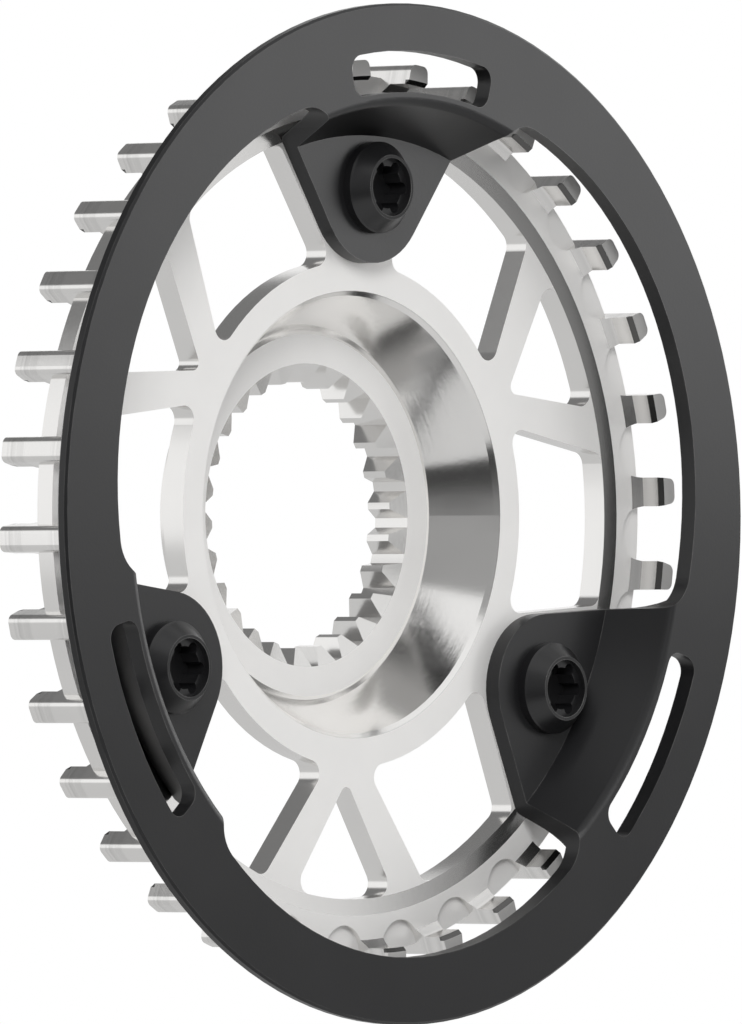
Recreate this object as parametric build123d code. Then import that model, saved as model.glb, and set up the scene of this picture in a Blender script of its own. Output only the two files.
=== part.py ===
"""Belt drive sprocket with a dished guard ring held on by three six-lobe bolts.

Millimetres. The bore axis lies along Y through the origin, which is at the belt's centre plane.
The guard is at the front, towards -Y, and +Z is up.
Angles are counter-clockwise as seen from the front, with 0 along +X.
"""

import os
from math import cos, pi, radians, sin, sqrt, tan

from build123d import *

# Belt teeth
belt_pitch = 11.0
tooth_count = 32
pitch_line_above_tips = 0.67
tooth_height = 5.25
tooth_width = 11.8
tooth_phase = 3.25
gap_root_radius = 3.5
gap_flank_angle = 13.0
tip_corner_radius = 0.9
tip_land_thickness = 2.45
overhang_edge_chamfer = 0.5
overhang_root_chamfer = 1.0

# Centre flange, which keeps the belt on its track
flange_thickness = 2.4
flange_below_tips = 1.65

# Rim plate and web
rim_thickness = 3.8
rim_land_below_root = 1.2
rim_band_width = 2.0
web_thickness = 3.2
hub_radius = 30.85

# Spokes: three V spokes and three solid arms that carry the guard bolts
spoke_group_count = 3
arm_phase = 87.7
arm_root_half_width = 5.1
arm_flank_angle = 36.0
v_root_half_width = 3.75
v_outer_angle = 38.6
v_inner_apex_radius = 32.45
v_inner_angle = 34.0
window_corner_radius = 1.7
window_apex_radius = 1.0

# Hub: a funnel that narrows to the splined ring behind the web
funnel_mouth_radius = 27.3
funnel_mouth_chamfer = 0.57
ring_face_depth = 7.5
ring_face_radius = 22.15
ring_edge_chamfer = 0.45
spline_boss_radius = 21.3
spline_boss_length = 5.3
spline_boss_chamfer = 0.4
cup_floor_thickness = 1.6
cup_floor_corner_radius = 23.75
cup_root_radius = 29.6

# Spline
spline_tooth_count = 26
spline_major_radius = 18.54
spline_minor_radius = 16.3
spline_gap_width_at_major = 1.15
spline_gap_flank_angle = 23.0
spline_phase = -2.7
spline_front_chamfer = 0.95
spline_back_chamfer = 0.8

# Guard ring: a flat ring with a three-lobed opening, and three ears dished back to the web
guard_over_teeth = 6.75
guard_ring_width = 8.2
opening_arc_offset = 6.4
guard_thickness = 2.2
guard_face_ahead_of_teeth = 5.24
guard_front_chamfer = 0.3
guard_back_chamfer = 1.0
ear_pad_thickness = 2.1
ear_rim_width = 3.9
ear_wall_run = 3.8
ear_wall_thickness = 2.1
ear_bend_radius = 1.2
ear_nose_radius = 9.2
ear_flank_angle = 35.0
ear_root_fillet = 4.9
slot_wall_gap = 0.05
slot_width = 5.05
slot_half_angle = 13.5
slot_corner_radius = 1.8

# Guard bolts
bolt_circle_radius = 39.9
bolt_thread_radius = 4.0
thread_clearance = 0.05
bolt_hole_clearance = 0.25
bolt_short_of_back = 0.3
bolt_flange_radius = 5.6
bolt_flange_thickness = 1.3
bolt_head_height = 3.0
bolt_head_top_radius = 3.95
bolt_edge_chamfer = 0.2
socket_mouth_radius = 3.55
socket_mouth_depth = 0.8
socket_lobe_radius = 3.45
socket_lobe_round = 0.75
socket_core_radius = 2.6
socket_lobe_phase = 30.0
socket_depth = 3.4

# How far cutters run past what they cut, and how far the hub runs into the web it joins
cut_margin = 1.0
hub_overlap = 0.5

# How closely a corner's radius has to match when it is picked out for rounding
match_tolerance = 0.01

# Worked out from the sizes above
pitch_radius = belt_pitch * tooth_count / (2 * pi)
tip_radius = pitch_radius - pitch_line_above_tips
root_radius = tip_radius - tooth_height
overhang_radius = tip_radius - tip_land_thickness
flange_radius = tip_radius - flange_below_tips
rim_land_radius = root_radius - rim_land_below_root
window_outer_radius = rim_land_radius - rim_band_width
web_front = -web_thickness / 2
web_back = web_thickness / 2
ring_face = web_front + ring_face_depth
cup_floor_back = ring_face + cup_floor_thickness
boss_back = ring_face + spline_boss_length
pad_front = web_front - ear_pad_thickness
guard_front = -tooth_width / 2 - guard_face_ahead_of_teeth
guard_back = guard_front + guard_thickness
guard_outer_radius = tip_radius + guard_over_teeth
opening_reach = guard_outer_radius - guard_ring_width
opening_arc_radius = opening_reach - opening_arc_offset
ear_rim_inner_radius = opening_reach - ear_rim_width
ear_wall_foot_radius = ear_rim_inner_radius - ear_wall_run
bolt_end = web_back - bolt_short_of_back
bolt_flange_front = pad_front - bolt_flange_thickness
bolt_top = pad_front - bolt_head_height
group_angle = 360 / spoke_group_count
arm_angles = [arm_phase - k * group_angle for k in range(spoke_group_count)]
v_angles = [angle - group_angle / 2 for angle in arm_angles]


def at_angle(shape, angle):
    """Turn a shape about the bore axis, counter-clockwise as seen from the front."""
    return Rot(0, -angle, 0) * shape


def front_plane(y):
    """Sketch plane seen from the front: local x is +X, local y is +Z, and it extrudes towards -Y."""
    return Plane((0, y, 0), x_dir=(1, 0, 0), z_dir=(0, -1, 0))


def prism(sketch, y_front, y_back):
    """Extrude a sketch drawn in front-view coordinates between two depths."""
    return extrude(front_plane(y_back) * sketch, y_back - y_front)


def turned(points):
    """Solid of revolution about the bore axis, from (radius, y) points."""
    profile = make_face(Polyline(*points, close=True))
    return revolve(profile, Axis.Y)


def sector_trapezoid(root, root_half_width, flank_angle, end):
    """Trapezoid along local +X, which widens outwards from its root."""
    end_half_width = root_half_width + (end - root) * tan(radians(flank_angle))
    corners = [
        (root, -root_half_width),
        (end, -end_half_width),
        (end, end_half_width),
        (root, root_half_width),
    ]
    return make_face(Polyline(*corners, close=True))


def tooth_gap():
    """One gap between belt teeth along local +X: a round root with sloping flanks."""
    flank = radians(gap_flank_angle)
    centre = root_radius + gap_root_radius
    tangent_x = centre - gap_root_radius * sin(flank)
    tangent_y = gap_root_radius * cos(flank)
    far_x = tip_radius + tooth_height
    far_y = tangent_y + (far_x - tangent_x) * tan(flank)
    outline = [
        ThreePointArc((tangent_x, -tangent_y), (root_radius, 0), (tangent_x, tangent_y)),
        Line((tangent_x, tangent_y), (far_x, far_y)),
        Line((far_x, far_y), (far_x, -far_y)),
        Line((far_x, -far_y), (tangent_x, -tangent_y)),
    ]
    return make_face(Wire(outline))


def tooth_outline():
    """Front view of the toothed disc, with rounded tooth tips."""
    gap = tooth_gap()
    half_pitch = 180 / tooth_count
    disc = Circle(tip_radius)
    for k in range(tooth_count):
        disc -= Rot(0, 0, tooth_phase + half_pitch + k * 2 * half_pitch) * gap
    tips = [v for v in disc.vertices() if sqrt(v.X**2 + v.Y**2) > tip_radius - match_tolerance]
    return fillet(tips, tip_corner_radius)


def rim_blank():
    """Turned rim: a web plate that carries a wide tooth ring with hollow undersides."""
    half_width = tooth_width / 2
    half_rim = rim_thickness / 2
    side = [
        (hub_radius - cut_margin, web_thickness / 2),
        (window_outer_radius, web_thickness / 2),
        (rim_land_radius, half_rim),
        (overhang_radius - overhang_root_chamfer, half_rim),
        (overhang_radius, half_rim + overhang_root_chamfer),
        (overhang_radius, half_width - overhang_edge_chamfer),
        (overhang_radius + overhang_edge_chamfer, half_width),
        (tip_radius + cut_margin, half_width),
    ]
    return turned(side + [(r, -y) for r, y in reversed(side)])


def centre_flange():
    """Disc between the teeth that fills the middle of each gap."""
    half = flange_thickness / 2
    inner = root_radius - rim_land_below_root
    return turned([(inner, -half), (flange_radius, -half), (flange_radius, half), (inner, half)])


def web_windows():
    """Front view of the nine windows: a triangle in each V spoke and a pair beside each arm."""
    reach = window_outer_radius + cut_margin
    start = hub_radius - cut_margin
    apex_span = (reach - v_inner_apex_radius) * tan(radians(v_inner_angle))
    openings = Circle(window_outer_radius) - Circle(hub_radius)
    for angle in arm_angles:
        root_half = arm_root_half_width - (hub_radius - start) * tan(radians(arm_flank_angle))
        openings -= Rot(0, 0, angle) * sector_trapezoid(start, root_half, arm_flank_angle, reach)
    for angle in v_angles:
        root_half = v_root_half_width - (hub_radius - start) * tan(radians(v_outer_angle))
        openings -= Rot(0, 0, angle) * sector_trapezoid(start, root_half, v_outer_angle, reach)
    for angle in v_angles:
        corners = [(v_inner_apex_radius, 0), (reach, -apex_span), (reach, apex_span)]
        triangle = make_face(Polyline(*corners, close=True)) & Circle(window_outer_radius)
        openings += Rot(0, 0, angle) * triangle
    apexes = [v for v in openings.vertices() if abs(sqrt(v.X**2 + v.Y**2) - v_inner_apex_radius) < match_tolerance]
    openings = fillet(apexes, window_apex_radius)
    rim_points = (hub_radius, window_outer_radius)
    corners = [
        v
        for v in openings.vertices()
        if min(abs(sqrt(v.X**2 + v.Y**2) - r) for r in rim_points) < match_tolerance
    ]
    return fillet(corners, window_corner_radius)


def hub_blank():
    """Turned hub: front annulus, funnel, undercut foot, spline ring and rear boss, before the spline."""
    throat_radius = funnel_mouth_radius - funnel_mouth_chamfer
    foot_radius = ring_face_radius + ring_edge_chamfer
    points = [
        (hub_radius + hub_overlap, web_front),
        (funnel_mouth_radius, web_front),
        (throat_radius, web_front + funnel_mouth_chamfer),
        (foot_radius, ring_face + ring_edge_chamfer),
        (ring_face_radius, ring_face),
        (spline_major_radius, ring_face),
        (spline_minor_radius, ring_face + spline_front_chamfer),
        (spline_minor_radius, boss_back - spline_back_chamfer),
        (spline_major_radius, boss_back),
        (spline_boss_radius - spline_boss_chamfer, boss_back),
        (spline_boss_radius, boss_back - spline_boss_chamfer),
        (spline_boss_radius, cup_floor_back),
        (cup_floor_corner_radius, cup_floor_back),
        (cup_root_radius, web_back),
        (hub_radius + hub_overlap, web_back),
    ]
    return turned(points)


def spline_gap():
    """One gap of the internal spline along local +X, open towards the axis."""
    inner = spline_minor_radius - cut_margin
    half_major = spline_gap_width_at_major / 2
    half_inner = half_major + (spline_major_radius - inner) * tan(radians(spline_gap_flank_angle))
    outer = spline_major_radius + cut_margin
    corners = [(inner, -half_inner), (spline_major_radius, -half_major), (outer, -half_major)]
    corners += [(outer, half_major), (spline_major_radius, half_major), (inner, half_inner)]
    return make_face(Polyline(*corners, close=True)) & Circle(spline_major_radius)


def spline_cutter():
    """All the gaps of the spline, run past both ends of the ring."""
    gap = spline_gap()
    gaps = Sketch() + [
        Rot(0, 0, spline_phase + k * 360 / spline_tooth_count) * gap for k in range(spline_tooth_count)
    ]
    return prism(gaps, ring_face - cut_margin, boss_back + cut_margin)


def bolt_hole(radius, y_front, y_back):
    """Cutter for a guard bolt's hole on the +X side."""
    return prism(Pos(bolt_circle_radius, 0) * Circle(radius), y_front, y_back)


def make_sprocket():
    half_width = tooth_width / 2
    rim = rim_blank() & prism(tooth_outline(), -half_width, half_width)
    rim += centre_flange()
    rim += hub_blank()
    rim -= prism(web_windows(), -rim_thickness, rim_thickness)
    rim -= spline_cutter()
    for angle in arm_angles:
        rim -= at_angle(bolt_hole(bolt_thread_radius, -rim_thickness, rim_thickness), angle)
    return rim


def ear_outline():
    """Front view of one ear along local +X: a round nose with straight flanks that widen outwards."""
    flank = radians(ear_flank_angle)
    nose_x = bolt_circle_radius - ear_nose_radius * sin(flank)
    nose_y = ear_nose_radius * cos(flank)
    far_x = guard_outer_radius
    far_y = nose_y + (far_x - nose_x) * tan(flank)
    tip = (bolt_circle_radius - ear_nose_radius, 0)
    outline = [
        ThreePointArc((nose_x, -nose_y), tip, (nose_x, nose_y)),
        Line((nose_x, nose_y), (far_x, far_y)),
        Line((far_x, far_y), (far_x, -far_y)),
        Line((far_x, -far_y), (nose_x, -nose_y)),
    ]
    return make_face(Wire(outline))


def guard_outline():
    """Front view of the guard: a three-lobed opening with an ear between each pair of lobes."""
    lobes = Sketch() + [
        Rot(0, 0, angle) * (Pos(opening_arc_offset, 0) * Circle(opening_arc_radius)) for angle in v_angles
    ]
    ears = Sketch() + [Rot(0, 0, angle) * ear_outline() for angle in arm_angles]
    opening = lobes - ears
    roots = [v for v in opening.vertices() if sqrt(v.X**2 + v.Y**2) > bolt_circle_radius]
    opening = fillet(roots, ear_root_fillet)
    return Circle(guard_outer_radius + cut_margin) - opening


def guard_blank():
    """Turned dish: flat ring, steep wall inwards and back, and a flat pad on the sprocket's web."""
    slope = ear_wall_run / (pad_front - guard_front)
    radial_wall = ear_wall_thickness * sqrt(1 + slope**2)
    wall_back_top = ear_rim_inner_radius - slope * guard_thickness + radial_wall
    wall_back_foot = ear_wall_foot_radius - slope * ear_pad_thickness + radial_wall
    nose_radius = bolt_circle_radius - ear_nose_radius
    points = [
        (guard_outer_radius, guard_front + guard_front_chamfer),
        (guard_outer_radius - guard_front_chamfer, guard_front),
        (ear_rim_inner_radius, guard_front),
        (ear_wall_foot_radius, pad_front),
        (nose_radius - cut_margin, pad_front),
        (nose_radius - cut_margin, web_front),
        (wall_back_foot, web_front),
        (wall_back_top, guard_back),
        (guard_outer_radius - guard_back_chamfer, guard_back),
        (guard_outer_radius, guard_back - guard_back_chamfer),
    ]
    blank = turned(points)
    front_bend = blank.edges().filter_by(GeomType.CIRCLE).filter_by(
        lambda e: abs(e.radius - ear_rim_inner_radius) < match_tolerance
    )
    back_bend = blank.edges().filter_by(GeomType.CIRCLE).filter_by(
        lambda e: abs(e.radius - wall_back_foot) < match_tolerance
    )
    return fillet(front_bend + back_bend, ear_bend_radius), wall_back_top


def guard_slot(inner_radius):
    """Front view of one curved slot, centred along local +X."""
    outer_radius = inner_radius + slot_width
    half = slot_half_angle
    reach = outer_radius * 2
    wedge_corners = [
        (0, 0),
        (reach * cos(radians(half)), -reach * sin(radians(half))),
        (reach * cos(radians(half)), reach * sin(radians(half))),
    ]
    wedge = make_face(Polyline(*wedge_corners, close=True))
    slot = (Circle(outer_radius) - Circle(inner_radius)) & wedge
    return fillet(slot.vertices(), slot_corner_radius)


def make_belt_guard():
    blank, wall_back_top = guard_blank()
    guard = blank & prism(guard_outline(), guard_front - cut_margin, web_front + cut_margin)
    slot = guard_slot(wall_back_top + slot_wall_gap)
    hole_radius = bolt_thread_radius + bolt_hole_clearance
    for angle in arm_angles:
        guard -= prism(Rot(0, 0, angle) * slot, guard_front - cut_margin, guard_back + cut_margin)
        guard -= at_angle(bolt_hole(hole_radius, pad_front - cut_margin, web_front + cut_margin), angle)
    return guard


def socket_outline():
    """Six-lobe socket: a round core with six round lobes."""
    lobe_centre = socket_lobe_radius - socket_lobe_round
    outline = Circle(socket_core_radius)
    for k in range(6):
        outline += Rot(0, 0, socket_lobe_phase + k * 60) * (Pos(lobe_centre, 0) * Circle(socket_lobe_round))
    return outline


def make_guard_bolt(angle):
    """Flanged bolt with a conical head, drawn on the bore axis and then moved out to its hole."""
    shank_radius = bolt_thread_radius - thread_clearance
    points = [
        (0, bolt_end),
        (shank_radius - bolt_edge_chamfer, bolt_end),
        (shank_radius, bolt_end - bolt_edge_chamfer),
        (shank_radius, pad_front),
        (bolt_flange_radius, pad_front),
        (bolt_flange_radius, bolt_flange_front + bolt_edge_chamfer),
        (bolt_flange_radius - bolt_edge_chamfer, bolt_flange_front),
        (bolt_head_top_radius, bolt_top),
        (0, bolt_top),
    ]
    bolt = turned(points)
    bolt -= prism(socket_outline(), bolt_top - cut_margin, bolt_top + socket_depth)
    bolt -= prism(Circle(socket_mouth_radius), bolt_top - cut_margin, bolt_top + socket_mouth_depth)
    return at_angle(Pos(bolt_circle_radius, 0, 0) * bolt, angle)


def write(name, shape):
    solids = shape.solids()
    solid = solids[0] if len(solids) == 1 else Compound(solids)
    solid.label = name
    export_step(solid, os.path.join("parts", name + ".step"))
    print(name, len(solids), "solid", round(shape.volume), "mm3")


os.makedirs("parts", exist_ok=True)
write("sprocket", make_sprocket())
write("belt_guard", make_belt_guard())
for number, bolt_angle in enumerate(arm_angles, start=1):
    write(f"guard_bolt_{number}", make_guard_bolt(bolt_angle))
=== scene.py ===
import math
import bpy
from mathutils import Matrix, Vector


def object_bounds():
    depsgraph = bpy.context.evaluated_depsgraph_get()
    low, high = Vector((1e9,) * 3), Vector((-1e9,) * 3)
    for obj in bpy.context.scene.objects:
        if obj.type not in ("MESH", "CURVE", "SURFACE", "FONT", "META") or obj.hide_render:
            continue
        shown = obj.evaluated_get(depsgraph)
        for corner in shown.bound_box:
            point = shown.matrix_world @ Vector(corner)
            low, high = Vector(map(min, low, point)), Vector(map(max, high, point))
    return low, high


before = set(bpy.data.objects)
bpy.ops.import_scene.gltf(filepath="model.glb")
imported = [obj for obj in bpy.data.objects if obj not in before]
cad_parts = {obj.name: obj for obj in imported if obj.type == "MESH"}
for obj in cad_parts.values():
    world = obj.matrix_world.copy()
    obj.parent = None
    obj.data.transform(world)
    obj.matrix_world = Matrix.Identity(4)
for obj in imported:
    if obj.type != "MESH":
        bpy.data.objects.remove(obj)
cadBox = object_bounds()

print("frame loaded:", ", ".join(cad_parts))


def feed(tree, socket, value):
    # a plain number goes on the socket itself, another node's output is linked to it
    if isinstance(value, (int, float)):
        socket.default_value = value
    else:
        tree.links.new(value, socket)


def mathNode(tree, operation, *values, clamp=False):
    node = tree.nodes.new("ShaderNodeMath")
    node.operation = operation
    node.use_clamp = clamp
    for socket, value in zip(node.inputs, values):
        feed(tree, socket, value)
    return node.outputs[0]


def product(tree, first, *others):
    for other in others:
        first = mathNode(tree, "MULTIPLY", first, other)
    return first


def opposite(tree, value):
    return mathNode(tree, "SUBTRACT", 1.0, value)


def beyond(tree, value, limit):
    return mathNode(tree, "GREATER_THAN", value, limit)


def between(tree, value, limits):
    low, high = limits
    return product(tree, mathNode(tree, "LESS_THAN", value, high), beyond(tree, value, low))


def smoothStep(tree, value, edges):
    # 0 before the first edge, 1 after the second
    node = tree.nodes.new("ShaderNodeMapRange")
    node.interpolation_type = "SMOOTHSTEP"
    tree.links.new(value, node.inputs["Value"])
    node.inputs["From Min"].default_value, node.inputs["From Max"].default_value = edges
    return node.outputs["Result"]


def fade(tree, factor, first, second):
    # a plain number that goes from first to second as the factor goes from 0 to 1
    mix = tree.nodes.new("ShaderNodeMix")
    tree.links.new(factor, mix.inputs["Factor"])
    feed(tree, mix.inputs["A"], first)
    feed(tree, mix.inputs["B"], second)
    return mix.outputs["Result"]


def mixColours(tree, factor, first, second):
    mix = tree.nodes.new("ShaderNodeMix")
    mix.data_type = "RGBA"
    tree.links.new(factor, mix.inputs["Factor"])
    for socket, colour in ((mix.inputs["A"], first), (mix.inputs["B"], second)):
        if isinstance(colour, tuple):
            socket.default_value = (*colour, 1.0)
        else:
            tree.links.new(colour, socket)
    return mix.outputs["Result"]


def cloudNoise(tree, place, size):
    noise = tree.nodes.new("ShaderNodeTexNoise")
    noise.inputs["Scale"].default_value = 1.0 / size
    noise.inputs["Detail"].default_value = 3.0
    tree.links.new(place, noise.inputs["Vector"])
    return noise.outputs["Fac"]


def lineNoise(tree, along, pitch, detail):
    # uneven lines across one direction, a pitch apart
    noise = tree.nodes.new("ShaderNodeTexNoise")
    noise.noise_dimensions = "1D"
    noise.inputs["Scale"].default_value = 1.0
    noise.inputs["Detail"].default_value = detail
    tree.links.new(mathNode(tree, "DIVIDE", along, pitch), noise.inputs["W"])
    return noise.outputs["Fac"]


def addBump(tree, shader, height, strength, distance):
    bump = tree.nodes.new("ShaderNodeBump")
    bump.inputs["Strength"].default_value = strength
    bump.inputs["Distance"].default_value = distance
    tree.links.new(height, bump.inputs["Height"])
    tree.links.new(bump.outputs["Normal"], shader.inputs["Normal"])


def newMaterial(name):
    material = bpy.data.materials.new(name)
    material.use_nodes = True
    tree = material.node_tree
    tree.nodes.clear()
    output = tree.nodes.new("ShaderNodeOutputMaterial")
    shader = tree.nodes.new("ShaderNodeBsdfPrincipled")
    tree.links.new(shader.outputs["BSDF"], output.inputs["Surface"])
    return material, tree, shader


def objectPlace(tree):
    # position on the object, its depth along the bore and its distance from the bore axis
    coords = tree.nodes.new("ShaderNodeTexCoord")
    split = tree.nodes.new("ShaderNodeSeparateXYZ")
    tree.links.new(coords.outputs["Object"], split.inputs[0])
    x, depth, z = split.outputs
    squares = mathNode(tree, "MULTIPLY_ADD", z, z, product(tree, x, x))
    return coords.outputs["Object"], depth, mathNode(tree, "SQRT", squares)


def acrossBore(tree, edges):
    # 1 on flat faces that look straight along the bore, towards the front or the back
    coords = tree.nodes.new("ShaderNodeTexCoord")
    split = tree.nodes.new("ShaderNodeSeparateXYZ")
    tree.links.new(coords.outputs["Normal"], split.inputs[0])
    return smoothStep(tree, mathNode(tree, "ABSOLUTE", split.outputs["Y"]), edges)


def dress(node, material):
    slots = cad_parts[node].data.materials
    for place in range(max(1, len(slots))):
        if place < len(slots):
            slots[place] = material
        else:
            slots.append(material)


# lengths in metres; each shade multiplies the colour
steelLook = {
    "colour": (0.93, 0.92, 0.905),
    "cloudSize": 0.006,
    "cloudShade": (0.97, 0.06),        # darkest, and how much the clouds add
    "fineSize": 0.0006,
    "fineRoughness": 0.06,
    "roughness": 0.17,
    "faceRoughness": 0.40,             # flat faces across the bore are satin, walls are smoother
    "faceMetallic": 0.55,
    "faceEdges": (0.992, 0.998),       # how squarely a face looks along the bore
    "wallPaintedShade": 0.90,                 # painted shade: the walls are darker than the funnel
    "funnelRadii": (0.0220, 0.0272),
    "funnelRoughness": 0.10,
    "lipPaintedShade": 0.16,                  # painted shade: the bevel inside each tooth's edge is dark
    "lipRadii": (0.0527, 0.0534),
    "lipDepth": 0.0053,                # distance from the belt's centre plane
    "toothInnerRadius": 0.0503,
    "toothStartDepth": 0.00195,
    "toothEndDepth": 0.0057,
    "toothEndPaintedShade": 0.72,             # painted shade: the ends of the teeth are darker
    "millingPitch": 0.0012,
    "millingShade": (0.6, 0.7),        # darkest, and how much the cutter's lines add
    "turningPitch": 0.00022,
    "turningHeight": 0.7,              # height of the turning marks beside the fine grain
    "bump": (0.03, 0.0001),            # strength and distance
}


def makeSteel():
    # bright machined steel: satin flat faces, smoother walls and a funnel with turning marks;
    # painted shade darkens the walls, the bevel inside each tooth's edge and the tooth ends
    look = steelLook
    material, tree, shader = newMaterial("machinedSteel")
    place, depth, radius = objectPlace(tree)
    offCentre = mathNode(tree, "ABSOLUTE", depth)
    facing = acrossBore(tree, look["faceEdges"])
    notFacing = opposite(tree, facing)
    fine = cloudNoise(tree, place, look["fineSize"])

    base, swing = look["cloudShade"]
    shade = mathNode(tree, "MULTIPLY_ADD", cloudNoise(tree, place, look["cloudSize"]), swing, base)
    funnel = between(tree, radius, look["funnelRadii"])
    # painted shade: walls other than the funnel are made darker
    wall = product(tree, notFacing, opposite(tree, funnel))
    # painted shade: the bevel inside each tooth's edge is made dark
    lip = product(tree, beyond(tree, offCentre, look["lipDepth"]),
                  between(tree, radius, look["lipRadii"]), notFacing)
    # the sides and undersides of the teeth show the milling cutter's lines
    outward = beyond(tree, radius, look["toothInnerRadius"])
    tooth = product(tree, beyond(tree, offCentre, look["toothStartDepth"]), outward, notFacing)
    base, swing = look["millingShade"]
    lines = lineNoise(tree, depth, look["millingPitch"], 3.0)
    lined = mathNode(tree, "MULTIPLY_ADD", lines, swing, base, clamp=True)
    # painted shade: the ends of the teeth, facing along the bore, are made darker
    end = product(tree, beyond(tree, offCentre, look["toothEndDepth"]), facing, outward)
    for area, tone in ((wall, look["wallPaintedShade"]), (lip, look["lipPaintedShade"]), (tooth, lined),
                       (end, look["toothEndPaintedShade"])):
        shade = product(tree, shade, fade(tree, area, 1.0, tone))
    tint = tree.nodes.new("ShaderNodeVectorMath")
    tint.operation = "SCALE"
    tint.inputs[0].default_value = look["colour"]
    tree.links.new(shade, tint.inputs["Scale"])
    tree.links.new(tint.outputs["Vector"], shader.inputs["Base Color"])

    rough = fade(tree, funnel, look["roughness"], look["funnelRoughness"])
    rough = fade(tree, facing, rough, look["faceRoughness"])
    rough = mathNode(tree, "MULTIPLY_ADD", fine, look["fineRoughness"], rough)
    tree.links.new(rough, shader.inputs["Roughness"])
    tree.links.new(fade(tree, facing, 1.0, look["faceMetallic"]), shader.inputs["Metallic"])
    # turning marks run round the axis, so they follow the distance from it and the depth
    marks = lineNoise(tree, mathNode(tree, "ADD", radius, depth), look["turningPitch"], 2.0)
    height = mathNode(tree, "MULTIPLY_ADD", marks, look["turningHeight"], fine)
    addBump(tree, shader, height, *look["bump"])
    return material


blackFinish = {                        # what the guard and the bolts share
    "cloudSize": 0.012,
    "paler": 1.25,                     # how much paler the clouds are
    "cloudRoughness": 0.10,
    "patchSize": 0.004,                # the paler edges, partly wear and partly painted highlight, come in patches
    "patchEdges": (0.30, 0.62),
    "edgeTurn": (0.01, 0.12),
    "bevelSamples": 6,
    "bump": (0.12, 0.00005),           # strength and distance
}

guardLook = {
    "colour": (0.007, 0.007, 0.0075),
    "wornAndHighlitColour": (0.075, 0.074, 0.073),
    "wornAndHighlitWidth": 0.00022,
    "wearAndHighlight": 0.8,
    "wearAndHighlightDepth": 0.0,                  # paler edges, partly wear and partly painted highlight, lie in front of this depth, so on all of the guard
    "specular": 0.38,
    "roughness": 0.32,
    "grainSize": 0.00035,
}

boltLook = {
    "colour": (0.006, 0.006, 0.0065),
    "wornAndHighlitColour": (0.16, 0.158, 0.155),
    "wornAndHighlitWidth": 0.00014,
    "wearAndHighlight": 0.9,
    "wearAndHighlightDepth": -0.0062,              # only the front of the head, not inside the socket
    "specular": 0.62,
    "roughness": 0.30,
    "grainSize": 0.0002,
}


def sharpEdges(tree, width):
    # 1 along sharp edges, where a rounded normal turns away from the surface's own
    bevel = tree.nodes.new("ShaderNodeBevel")
    bevel.samples = blackFinish["bevelSamples"]
    bevel.inputs["Radius"].default_value = width
    surface = tree.nodes.new("ShaderNodeNewGeometry")
    match = tree.nodes.new("ShaderNodeVectorMath")
    match.operation = "DOT_PRODUCT"
    tree.links.new(bevel.outputs["Normal"], match.inputs[0])
    tree.links.new(surface.outputs["Normal"], match.inputs[1])
    return smoothStep(tree, opposite(tree, match.outputs["Value"]), blackFinish["edgeTurn"])


def makeBlackMetal(name, look):
    # black finish with a fine grain, slightly paler clouds and paler edges that are partly wear
    # and partly painted highlight
    material, tree, shader = newMaterial(name)
    place, depth = objectPlace(tree)[:2]
    cloud = cloudNoise(tree, place, blackFinish["cloudSize"])
    paler = tuple(channel * blackFinish["paler"] for channel in look["colour"])
    finish = mixColours(tree, cloud, look["colour"], paler)
    patches = smoothStep(tree, cloudNoise(tree, place, blackFinish["patchSize"]),
                         blackFinish["patchEdges"])
    # painted highlight and wear: sharp edges are made paler, in patches, except inside the bolt
    # sockets
    wornAndHighlit = product(tree, sharpEdges(tree, look["wornAndHighlitWidth"]), patches, look["wearAndHighlight"],
                   mathNode(tree, "LESS_THAN", depth, look["wearAndHighlightDepth"]))
    finish = mixColours(tree, wornAndHighlit, finish, look["wornAndHighlitColour"])
    tree.links.new(finish, shader.inputs["Base Color"])
    shader.inputs["Specular IOR Level"].default_value = look["specular"]
    swing = blackFinish["cloudRoughness"]
    rough = mathNode(tree, "MULTIPLY_ADD", cloud, swing, look["roughness"] - swing / 2)
    tree.links.new(rough, shader.inputs["Roughness"])
    addBump(tree, shader, cloudNoise(tree, place, look["grainSize"]), *blackFinish["bump"])
    return material


dress("sprocket", makeSteel())
dress("belt_guard", makeBlackMetal("blackAnodised", guardLook))
boltBlack = makeBlackMetal("blackBoltSteel", boltLook)
for number in (1, 2, 3):
    dress(f"guard_bolt_{number}", boltBlack)
print("finishes done")

floorLook = {
    "colour": (0.9, 0.9, 0.9, 1),
    "roughness": 0.9,
    "specular": 0.1,
    "drop": 0.014,                     # how far it lies below the guard
    "radius": 0.46,
}


def makeFloor():
    bpy.ops.mesh.primitive_circle_add(vertices=96, radius=floorLook["radius"], fill_type="NGON",
                                      location=(0, 0, cadBox[0][2] - floorLook["drop"]))
    floor = bpy.context.object
    floor.name = "floor"
    material, tree, shader = newMaterial("paleFloor")
    shader.inputs["Base Color"].default_value = floorLook["colour"]
    shader.inputs["Roughness"].default_value = floorLook["roughness"]
    shader.inputs["Specular IOR Level"].default_value = floorLook["specular"]
    floor.data.materials.append(material)
    floor.visible_glossy = False       # the steel mirrors the studio walls instead


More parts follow.
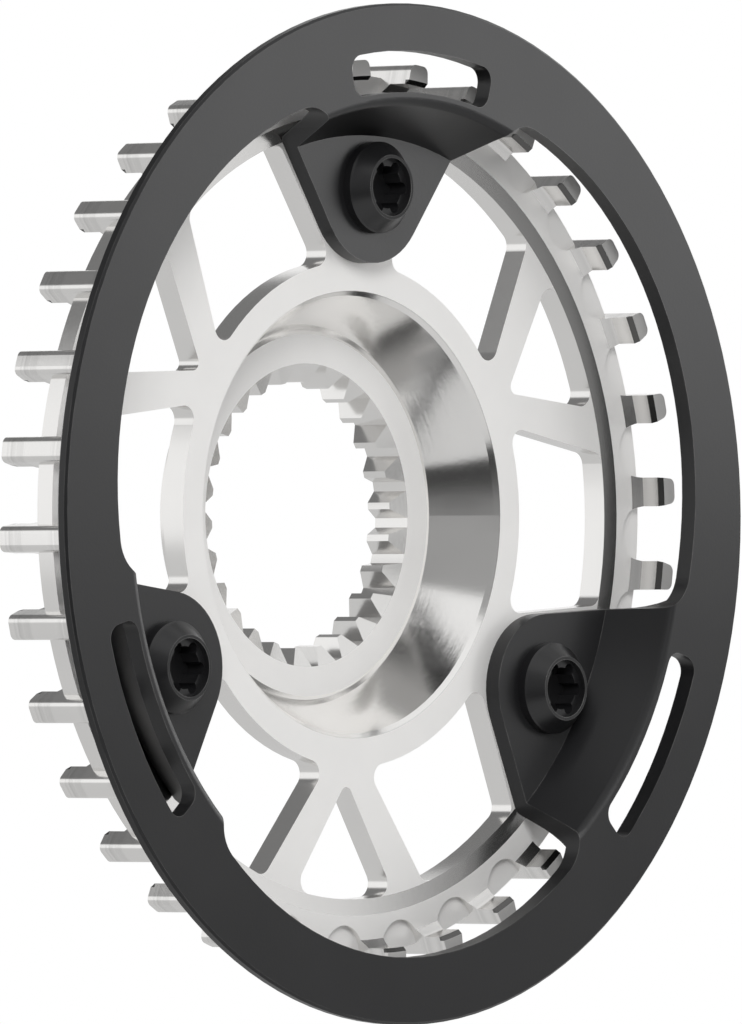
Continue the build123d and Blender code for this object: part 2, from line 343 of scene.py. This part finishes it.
# Directions are x, y and z of a unit vector, azimuths are in degrees from +X towards +Y.
# Each pair of edges is where one brightness starts to give way and where it has gone.
studioWalls = {
    "skyLight": 0.36,                  # what reaches matt surfaces
    "front": 0.85,                     # what metal mirrors from the front and above
    "lower": 0.63,                     # and from below the horizon
    "lowerEdges": (-0.22, -0.10),      # height
    "horizon": 1.0,                    # the lit wall low down behind the object
    "back": 0.20,                      # the unlit wall above it
    "backEdges": (0.42, 0.56),         # height
    "behindEdges": (0.10, 0.30),       # y
    "zenith": 0.20,
    "zenithEdges": (0.93, 0.99),
    "nadir": 0.28,
    "nadirEdges": (0.90, 0.99),        # how far down
    "leftGapAzimuth": 209.0,           # dark gap beside the camera, lighter upwards
    "leftGapSides": (0.80, 0.87),      # cosine from its azimuth
    "leftGapLowEdges": (-0.45, -0.41),
    "leftGapHighEdges": (-0.65, -0.57),  # how far down, so below 0 is above the horizon
    "leftGapTones": (0.045, 0.33),
    "leftGapToneEdges": (-0.35, 0.15),
    "rightGapAzimuth": 295.0,          # dim gap to the right of the camera
    "rightGapSides": (0.921, 0.933),
    "rightGapEdges": (0.30, 0.24),     # height, up or down
    "rightGap": 0.21,
}


def towards(tree, x, y, azimuth):
    # cosine of the angle, seen from above, between a direction and a given azimuth
    angle = math.radians(azimuth)
    along = mathNode(tree, "MULTIPLY_ADD", y, math.sin(angle), product(tree, x, math.cos(angle)))
    squares = mathNode(tree, "MULTIPLY_ADD", y, y, product(tree, x, x))
    length = mathNode(tree, "MAXIMUM", mathNode(tree, "SQRT", squares), 0.001)
    return mathNode(tree, "DIVIDE", along, length)


def mixShaders(tree, factor, first, second):
    mix = tree.nodes.new("ShaderNodeMixShader")
    tree.links.new(factor, mix.inputs["Fac"])
    tree.links.new(first.outputs[0], mix.inputs[1])
    tree.links.new(second.outputs[0], mix.inputs[2])
    return mix


def plainLight(tree, strength):
    light = tree.nodes.new("ShaderNodeBackground")
    light.inputs["Color"].default_value = (1, 1, 1, 1)
    light.inputs["Strength"].default_value = strength
    return light


def makeWorld():
    # white to the camera; metal mirrors lit walls with a dark gap beside the camera
    walls = studioWalls
    world = bpy.data.worlds.new("studioWorld")
    bpy.context.scene.world = world
    world.use_nodes = True
    tree = world.node_tree
    tree.nodes.clear()
    coords = tree.nodes.new("ShaderNodeTexCoord")
    split = tree.nodes.new("ShaderNodeSeparateXYZ")
    tree.links.new(coords.outputs["Generated"], split.inputs[0])
    x, y, z = split.outputs
    down = product(tree, z, -1.0)

    upper = smoothStep(tree, z, walls["lowerEdges"])
    front = fade(tree, upper, walls["lower"], walls["front"])
    back = fade(tree, upper, walls["lower"], walls["horizon"])
    back = fade(tree, smoothStep(tree, z, walls["backEdges"]), back, walls["back"])
    wall = fade(tree, smoothStep(tree, y, walls["behindEdges"]), front, back)
    wall = fade(tree, smoothStep(tree, z, walls["zenithEdges"]), wall, walls["zenith"])
    wall = fade(tree, smoothStep(tree, down, walls["nadirEdges"]), wall, walls["nadir"])

    left = product(tree,
                   smoothStep(tree, towards(tree, x, y, walls["leftGapAzimuth"]),
                              walls["leftGapSides"]),
                   smoothStep(tree, z, walls["leftGapLowEdges"]),
                   smoothStep(tree, down, walls["leftGapHighEdges"]))
    leftTone = fade(tree, smoothStep(tree, z, walls["leftGapToneEdges"]), *walls["leftGapTones"])
    wall = fade(tree, left, wall, leftTone)
    right = product(tree,
                    smoothStep(tree, towards(tree, x, y, walls["rightGapAzimuth"]),
                               walls["rightGapSides"]),
                    smoothStep(tree, mathNode(tree, "ABSOLUTE", z), walls["rightGapEdges"]))
    wall = fade(tree, right, wall, walls["rightGap"])

    mirrored = plainLight(tree, 1.0)
    tree.links.new(wall, mirrored.inputs["Color"])
    path = tree.nodes.new("ShaderNodeLightPath")
    mirrorRay = mathNode(tree, "MAXIMUM", path.outputs["Is Glossy Ray"],
                         path.outputs["Is Transmission Ray"])
    lit = mixShaders(tree, mirrorRay, plainLight(tree, walls["skyLight"]), mirrored)
    final = mixShaders(tree, path.outputs["Is Camera Ray"], lit, plainLight(tree, 1.0))
    output = tree.nodes.new("ShaderNodeOutputWorld")
    tree.links.new(final.outputs[0], output.inputs["Surface"])


keyPanel = {
    "power": 25.0,
    "size": (0.7, 0.7),
    "place": (-0.95, -0.95, 0.75),
}

guardPanel = {                         # to the right and above, for the black guard only
    "power": 0.29,
    "size": (0.28, 0.18),
    "place": (0.225, -0.145, 0.09),
}


def addPanel(name, panel, onlyFor=None):
    # soft rectangular lamp that faces the object and lights all of it, or only one node
    lamp = bpy.data.lights.new(name, "AREA")
    lamp.shape = "RECTANGLE"
    lamp.size, lamp.size_y = panel["size"]
    lamp.energy = panel["power"]
    holder = bpy.data.objects.new(name, lamp)
    holder.location = panel["place"]
    holder.rotation_euler = (-Vector(panel["place"])).to_track_quat("-Z", "Y").to_euler()
    holder.visible_glossy = onlyFor is not None
    bpy.context.collection.objects.link(holder)
    if onlyFor:
        lit = bpy.data.collections.new(name + "Lit")
        lit.objects.link(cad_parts[onlyFor])
        holder.light_linking.receiver_collection = lit


cameraView = {                         # how the photograph was taken
    "azimuth": -48.47,                 # degrees, 0 looks along +Y
    "elevation": -0.43,
    "roll": -0.16,
    "distance": 2.067,
    "aim": (0.0, -0.00674, 0.0),
    "focalPixels": 16981.0,
    "centrePixel": (384.5, 514.3),
    "imageSize": (742, 1024),
    "sensorWidth": 36.0,               # mm
    "clip": (0.01, 20),
}


def makeCamera():
    view = cameraView
    azimuth = math.radians(view["azimuth"])
    elevation = math.radians(view["elevation"])
    roll = math.radians(view["roll"])
    back = Vector((math.sin(azimuth) * math.cos(elevation),
                   -math.cos(azimuth) * math.cos(elevation),
                   math.sin(elevation)))
    right = Vector((math.cos(azimuth), math.sin(azimuth), 0))
    up = back.cross(right)
    turnedRight = right * math.cos(roll) + up * math.sin(roll)
    turnedUp = up * math.cos(roll) - right * math.sin(roll)
    lens = bpy.data.cameras.new("photoCamera")
    camera = bpy.data.objects.new("photoCamera", lens)
    turn = Matrix((turnedRight, turnedUp, back)).transposed().to_4x4()
    place = Vector(view["aim"]) + back * view["distance"]
    camera.matrix_world = Matrix.Translation(place) @ turn
    width, height = view["imageSize"]
    lens.sensor_fit = "AUTO"
    lens.sensor_width = view["sensorWidth"]
    lens.lens = view["focalPixels"] / height * lens.sensor_width
    lens.shift_x = (width / 2 - view["centrePixel"][0]) / height
    lens.shift_y = (view["centrePixel"][1] - height / 2) / height
    lens.clip_start, lens.clip_end = view["clip"]
    bpy.context.collection.objects.link(camera)
    bpy.context.scene.camera = camera


makeFloor()
makeWorld()
addPanel("keyPanel", keyPanel)
addPanel("guardPanel", guardPanel, "belt_guard")
makeCamera()
bpy.context.scene.view_settings.view_transform = "Standard"
print("studio and camera done")
